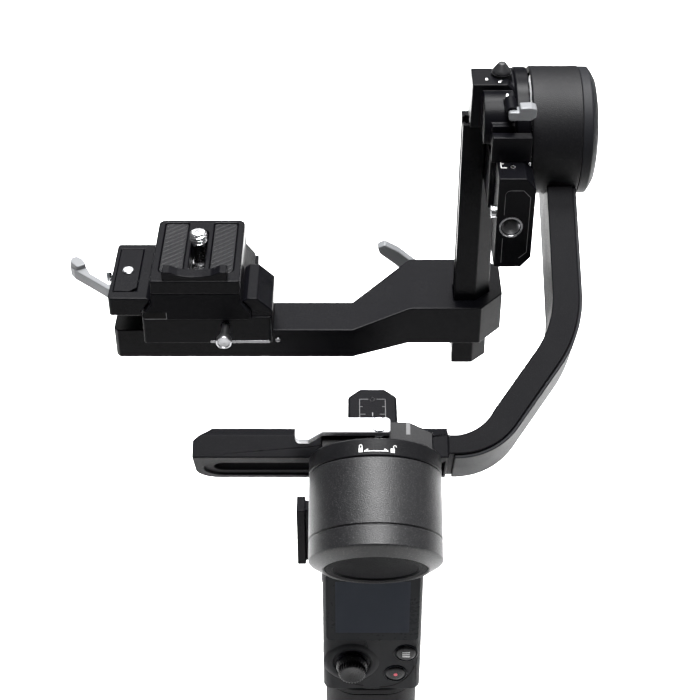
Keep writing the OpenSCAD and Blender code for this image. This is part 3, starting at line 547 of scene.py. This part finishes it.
def build_catch():
    """Catch of the plate, on the near face of the lower plate: its notch as a black sheet of painted shade, and a
    fine pale line as the painted highlight on its rim.
    """
    near = near_face(0, 0, PLATE_NEAR)
    prism("catch_notch_painted_shade", box_outline(-83.4, 234.0, -75.6, 236.8), -0.5, 0.04, near, "black_seam_and_painted_shade", "plate")
    printed("catch_rim_painted_highlight", [[(-83.2, 233.9), (-75.2, 233.9), (-75.2, 236.6)]], 0.25, near, "plate", "print_and_painted_highlight_grey", 0.06)


def build_base_details():
    """The small screw in the base bar's near face, and the strip on the quick release's."""
    slotted_head("bar_screw", 1.0, 0.5, near_face(-35.4, 217, BAR_NEAR), "steel_dark", "base_stage", 0.3)
    prism("base_strip", rounded(box_outline(-60.0, -0.55, -37.8, 0.55), 0.5), -1, 0.25,
          near_face(0, 222.2, QR_NEAR), "steel_dark", "base_stage", 0.15)


# ---- slider block and tilt clamp ------------------------------------------------------

def build_thread_hole(x=47.1, z=279.0, turns=8, step=0.8, taper=0.22):
    """Threaded hole in the block's near face: a lit rim and rings running in."""
    rings = [(4.1, -0.3), (4.1, 0.08), (3.9, 0.16), (3.5, 0.16), (3.4, 0.0)]
    for k in range(turns):
        rings += [(3.3 - taper * k, -0.25 - step * k), (2.85 - taper * k, -0.6 - step * k)]
    rings += [(1.2, -7.2), (0, -7.2)]
    hole = turned("threaded_hole", rings, near_face(x, z, BLOCK_NEAR), "pin_steel", "depth_stage", capped=False)


def build_block_marks():
    """The panel's outline on the block's near face, in pale lines that paint the highlight on its edges, and the
    marks on its top.
    """
    panel = [(44.5, 284), (44.5, 291.6)] + arc(46.3, 291.8, 1.8, 180, 90, 6)
    panel += [(50.6, 293.6), (53.1, 290.9), (53.1, 268.6), (50.6, 266.2)]
    printed("block_panel_painted_highlight", [[(44.5, 264.4), (44.5, 274.2)], panel], 0.22, near_face(0, 0, BLOCK_NEAR), "depth_stage",
            "print_and_painted_highlight_grey")
    top = top_face(BLOCK_TOP)
    printed("block_scale", [[(43.2, 55.6), (43.2, 50.2), (45.0, 50.2)], [(43.2, 52.9), (44.1, 52.9)]], 0.28, top,
            "depth_stage")
    printed("block_zero", zero(47.2, 50.8, 0.85), 0.3, top, "depth_stage")


def lock_mark(name, x, y, size, place, body, open_shift=0.0):
    """A generic padlock, its body of four strokes; open_shift slides its shackle aside."""
    w, h = 0.36 * size, 0.46 * size
    block = [[(x - w / 2, y - h + 0.13 * k * size), (x + w / 2, y - h + 0.13 * k * size)] for k in range(4)]
    top = arc(x + open_shift * size, y + 0.26 * size, 0.17 * size, 180, 0, 8)
    shackle = [(top[0][0], y)] + top + ([(top[-1][0], y)] if not open_shift else [])
    printed(name + "_body", block, 0.15 * size, place, body)
    printed(name + "_bow", [shackle], 0.09 * size, place, body)


def build_clamp_marks(size=1.7, open_shift=0.3):
    """The padlocks on the tilt clamp's top and over its hub."""
    top = top_face(CLAMP_TOP)
    lock_mark("clamp_lock", 38.9, 75.4, size, top, "tilt_stage")
    lock_mark("clamp_open", 43.2, 73.6, size, top, "tilt_stage", open_shift)
    x, y, z = CLAMP_HUB
    for k, lean in enumerate((9, 20)):
        t = math.radians(lean)
        dome = on((x, y - CLAMP_HUB_R * math.sin(t), z + CLAMP_HUB_R * math.cos(t)), (1, 0, 0),
                  (0, math.cos(t), math.sin(t)))
        lock_mark("hub_mark_%d" % k, 0, 0, size, dome, "tilt_stage", open_shift * k)


def build_tilt_lever(thick=4.4, rod_x=46.4, rod_z=315.4, rod_r=2):
    """The tilt clamp's lever: a short hook and its rod."""
    outline = [(45.2, 313.2), (52.6, 313.2), (54.6, 314.6), (54.6, 317.6), (52.6, 318.2), (48.9, 318.0),
               (48.9, 316.4), (45.2, 316.4)]
    hook = prism("tilt_lever_finished", rounded(outline, [0.8, 1.2, 0.8, 0.8, 0.8, 0.5, 0.6, 0.8]), 0, thick,
                 near_face(0, 0, CLAMP_NEAR), "lever_grey", "tilt_clamp_lever", 0.4)
    turned("tilt_lever_rod", [(0, -6), (rod_r, -6), (rod_r, 2.5), (0, 2.5)], near_face(rod_x, rod_z, CLAMP_NEAR),
           "clamp_black", "tilt_clamp_lever", steps=48)
    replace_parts(hook, "tilt_lever")


# ---- roll clamp and pan bar -------------------------------------------------------------

def build_roll_lever(low=10.35, high=13.9):
    """The large pale lever, in the roll motor's frame, low and high above its axis."""
    outline = [(-25.8, 20.6), (-21.4, 20.6), (-17.0, 23.3), (4.7, 23.3), (4.7, 28.4), (-25.8, 28.4)]
    lever = prism("roll_lever_finished", rounded(outline, [1.7, 1.2, 0.8, 0.9, 1.2, 1.7]), low, high, ROLL,
                  "lever_pale", "roll_clamp_lever", 0.45)
    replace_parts(lever, "roll_lever")


def on_ring(across, along):
    """Frame on the roll clamp's ring, across millimetres round from its top."""
    t = across / ROLL_R
    return on((ROLL_R * math.sin(t), along, ROLL_R * math.cos(t)), (math.cos(t), 0, -math.sin(t)), (0, 1, 0), ROLL)


def build_ring_marks(size=2.5, strokes=8, length=6.2):
    """Two padlocks on the ring with a double arrow between them, and the mark on its clamp."""
    lock_mark("ring_lock", 0, 0, size, on_ring(-4.9, 15.7), "roll_stage")
    lock_mark("ring_open", 0, 0, size, on_ring(5.2, 15.5), "roll_stage", 0.3)
    for k in range(strokes):
        across = -length / 2 + length * (k + 0.5) / strokes
        printed("ring_arrow_%d" % k, [[(-0.42, 0), (0.42, 0)]], 0.2, on_ring(across, 14.6), "roll_stage")
    for side, where in ((-1, "left"), (1, "right")):
        printed("ring_tip_" + where, [[(-0.5 * side, 0.55), (0.45 * side, -0.05)]], 0.3,
                on_ring(3.2 * side, 14.65), "roll_stage")
    prism("clamp_mark", box_outline(9.9, 24.2, 11.2, 28.3), -0.2, 0.03, ROLL @ Matrix.Translation((0, 0, 9.3)),
          "print_and_painted_highlight_grey", "roll_stage")


def build_bar_scale(half=4.7, start=34.4, pitch=4.25, zero_y=34.3, number_half=0.9):
    """The scale on the pan bar's top: two edge lines with ticks, a zero, and a bar at each further number."""
    top = top_face(BAR_TOP)
    edges = [[(side * half, -8), (side * half, start), (side * 1.6, start)] for side in (-1, 1)]
    ticks = [[(side * half, start - pitch * k), (side * (half - (1.0 if k % 2 else 2.0)), start - pitch * k)]
             for k in range(1, 10) for side in (-1, 1)]
    printed("bar_scale", edges + ticks, 0.24, top, "pan_arm", "print_and_painted_highlight_grey")
    printed("bar_zero", zero(0, zero_y, 1.0), 0.32, top, "pan_arm", "print_pale")
    for k in range(1, 5):
        y = zero_y - 2 * pitch * k
        printed("bar_one_%d" % k, [[(0, y - number_half), (0, y + number_half)]], 0.3, top, "pan_arm", "print_pale")


# ---- head ---------------------------------------------------------------------------------

def build_screen(glass_proud=0.3, display_proud=0.32):
    """The glass and the square of the display, each proud of the head's face."""
    glass = prism("screen_glass_finished", rounded(box_outline(-17, 137.3, 17, 171), [2.2, 2.2, 0.5, 0.5]),
                  -0.9, glass_proud, rear_face(0, 0), "screen_glass", "handle", 0.12)
    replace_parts(glass, "screen_glass")
    shown = prism("display_finished", rounded(box_outline(-13.5, 141.7, 13.5, 168.5), 0.3), -0.2, display_proud,
                  rear_face(0, 0), "display", "handle")
    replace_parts(shown, "display_panel")


def build_stick(teeth=28, depth=0.035):
    """The stick in its well, with a knurled rim round its cap; the well's floor is a near-black disc, painted shade
    in the recess.
    """
    place = rear_face(JOINT_AT["joystick_side"].x, JOINT_AT["joystick_side"].z)
    turned("stick_rim", [(6.9, -2.5), (6.9, 0.25), (7.3, 0.7), (8.2, 0.85), (9.2, 0.55), (10.2, 0.05), (10.6, -0.4)],
           place, "head_polymer", "handle", angle=70)
    # Near-black disc on the well's floor: painted shade in the recess.
    turned("stick_well_painted_shade", [(0, -2.4), (7.0, -2.4), (7.0, -2.7), (0, -2.7)], place, "black_seam_and_painted_shade", "handle")

    def knurl(t, r):
        return 1 + depth * math.cos(teeth * t) if 4.7 < r < 5.1 else 1.0

    stick = turned("joystick_finished",
                   [(0, -1.2), (1.6, -1.2), (3.6, -0.4), (5.6, 0.7), (6.0, 1.5), (5.95, 2.3), (5.5, 3.1),
                    (4.95, 3.5), (4.95, 4.1), (4.95, 5.2), (4.85, 5.8), (4.4, 6.15), (3.8, 6.1), (2.4, 5.7),
                    (0, 5.5)],
                   place, "control_polymer", "joystick", steps=168, lobes=knurl, angle=50)
    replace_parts(stick, "joystick_cap")


def build_button(name, node, body, x, z, radius, proud):
    """A round key in a low ring; returns a frame on its top, for the mark."""
    place = rear_face(x, z)
    ring = [(radius + 0.15, -1), (radius + 0.2, 0.15), (radius + 0.5, 0.3), (radius + 0.85, 0.05),
            (radius + 0.9, -0.3)]
    turned(name + "_ring", ring, place, "screen_glass", "handle", steps=72, angle=60)
    profile = [(0, -3), (radius, -3), (radius, proud - 0.5), (radius - 0.2, proud - 0.15),
               (radius - 0.8, proud + 0.1), (radius * 0.5, proud + 0.25), (0, proud + 0.3)]
    button = turned(name + "_finished", profile, place, "control_polymer", body, steps=72, angle=50)
    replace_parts(button, node)
    return rear_face(x, z, REAR_Y - (proud + 0.24))


def build_keys():
    """The two round keys, each with its mark."""
    top = build_button("mode", "mode_button", "mode_key", x=12.6, z=HEAD_Z + 20.4, radius=3.7, proud=0.7)
    printed("mode_mark", [[(-1.25, y), (1.25, y)] for y in (-1.1, 0, 1.1)], 0.36, top, "mode_key", height=0.1)
    top = build_button("record", "record_button", "record_key", x=8.9, z=HEAD_Z + 9, radius=3.6, proud=0.5)
    turned("record_mark", [(0, -0.3), (0.75, -0.3), (0.75, 0.08), (0, 0.1)], top, "mark_red", "record_key", steps=32)


def build_head_marks():
    """The seam below the keys, and the power key's mark on the left side."""
    seam = [(-10.5, 114.2), (-8, 113.3), (-5.5, 112.5), (-2.5, 111.7), (1, 111.2), (5, 111.2), (8.4, 112.2),
            (11, 114), (13.2, 116.6), (14.8, 119.6), (15.9, 122.8)]
    printed("panel_seam", [seam], 0.32, rear_face(0, 0), "handle", "black_seam_and_painted_shade")
    power = on((-18.8, 2, HEAD_Z + 42), (0, -1, 0), (0, 0, 1))
    printed("power_mark", [arc(0, 0, 1.2, 115, 425, 16), [(0, 0.3), (0, 1.6)]], 0.3, power, "power_key")


# ---- stage, light and camera -----------------------------------------------------

def stage_material():
    """A matt white floor."""
    mat = bpy.data.materials.new("floor_white")
    mat.use_nodes = True
    shader = mat.node_tree.nodes["Principled BSDF"]
    shader.inputs["Base Color"].default_value = (0.9, 0.9, 0.9, 1)
    shader.inputs["Roughness"].default_value = 0.95
    shader.inputs["Specular IOR Level"].default_value = 0.1
    return mat


def add_floor(size=10.0):
    """The floor, its size in metres."""
    bpy.ops.mesh.primitive_plane_add(size=size, location=(0, 0, 0))
    floor = bpy.context.object
    floor.name = "floor"
    floor.data.materials.append(stage_material())


def add_light(name, place, target, size, power, spread=180):
    """A soft rectangular light; places and sizes in metres, power in watts, spread in degrees."""
    data = bpy.data.lights.new(name, "AREA")
    data.shape = "RECTANGLE"
    data.size, data.size_y = size
    data.energy = power
    data.spread = math.radians(spread)
    lamp = bpy.data.objects.new(name, data)
    lamp.location = place
    lamp.rotation_euler = (Vector(target) - Vector(place)).to_track_quat("-Z", "Y").to_euler()
    bpy.context.scene.collection.objects.link(lamp)


def add_world(strength):
    """An even white surround."""
    world = bpy.data.worlds.new("studio")
    world.use_nodes = True
    back = world.node_tree.nodes["Background"]
    back.inputs["Color"].default_value = (1, 1, 1, 1)
    back.inputs["Strength"].default_value = strength
    bpy.context.scene.world = world


def add_camera(place=(-0.0082, -0.4036, 0.5719), dip=37.8, lens=79.66):
    """The camera: place in metres, dip in degrees below level, lens in millimetres."""
    data = bpy.data.cameras.new("camera")
    data.sensor_width = 36.0
    data.lens = lens
    data.clip_start = 0.01
    camera = bpy.data.objects.new("camera", data)
    camera.location = place
    camera.rotation_euler = (math.radians(90 - dip), 0, 0)
    bpy.context.scene.collection.objects.link(camera)
    bpy.context.scene.camera = camera


# ---- the scene --------------------------------------------------------------------

for node in frame["nodes"]:
    if node not in REBUILT:
        finish_node(node, EASE.get(node, USUAL_EASE), CORNERS.get(node, ()))

build_plate()
build_pad(-1)
build_pad(1)
build_camera_screw()

build_cover_screw()
build_safety_pin()
build_qr_lever()
build_catch()
build_base_details()

build_thread_hole()
build_block_marks()
build_clamp_marks()
build_tilt_lever()

build_roll_lever()
build_ring_marks()
build_bar_scale()

build_screen()
build_stick()
build_keys()
build_head_marks()

add_floor()
add_world(0.10)
add_light("floor_spot", (0.0, 0.72, 1.6), (0, 0.6, 0), (1.0, 0.7), 20, 60)
add_light("far_panel", (0.0, 1.7, 1.55), (0, 0.05, 0.25), (1.8, 0.5), 12)
add_light("overhead", (0.03, -0.1, 1.2), (0.03, -0.05, 0.2), (0.4, 0.5), 6, 90)
add_light("side_panel", (1.5, 0.5, 1.1), (0, 0.05, 0.25), (0.6, 0.8), 5)
add_camera()
bpy.context.scene.view_settings.view_transform = "Standard"
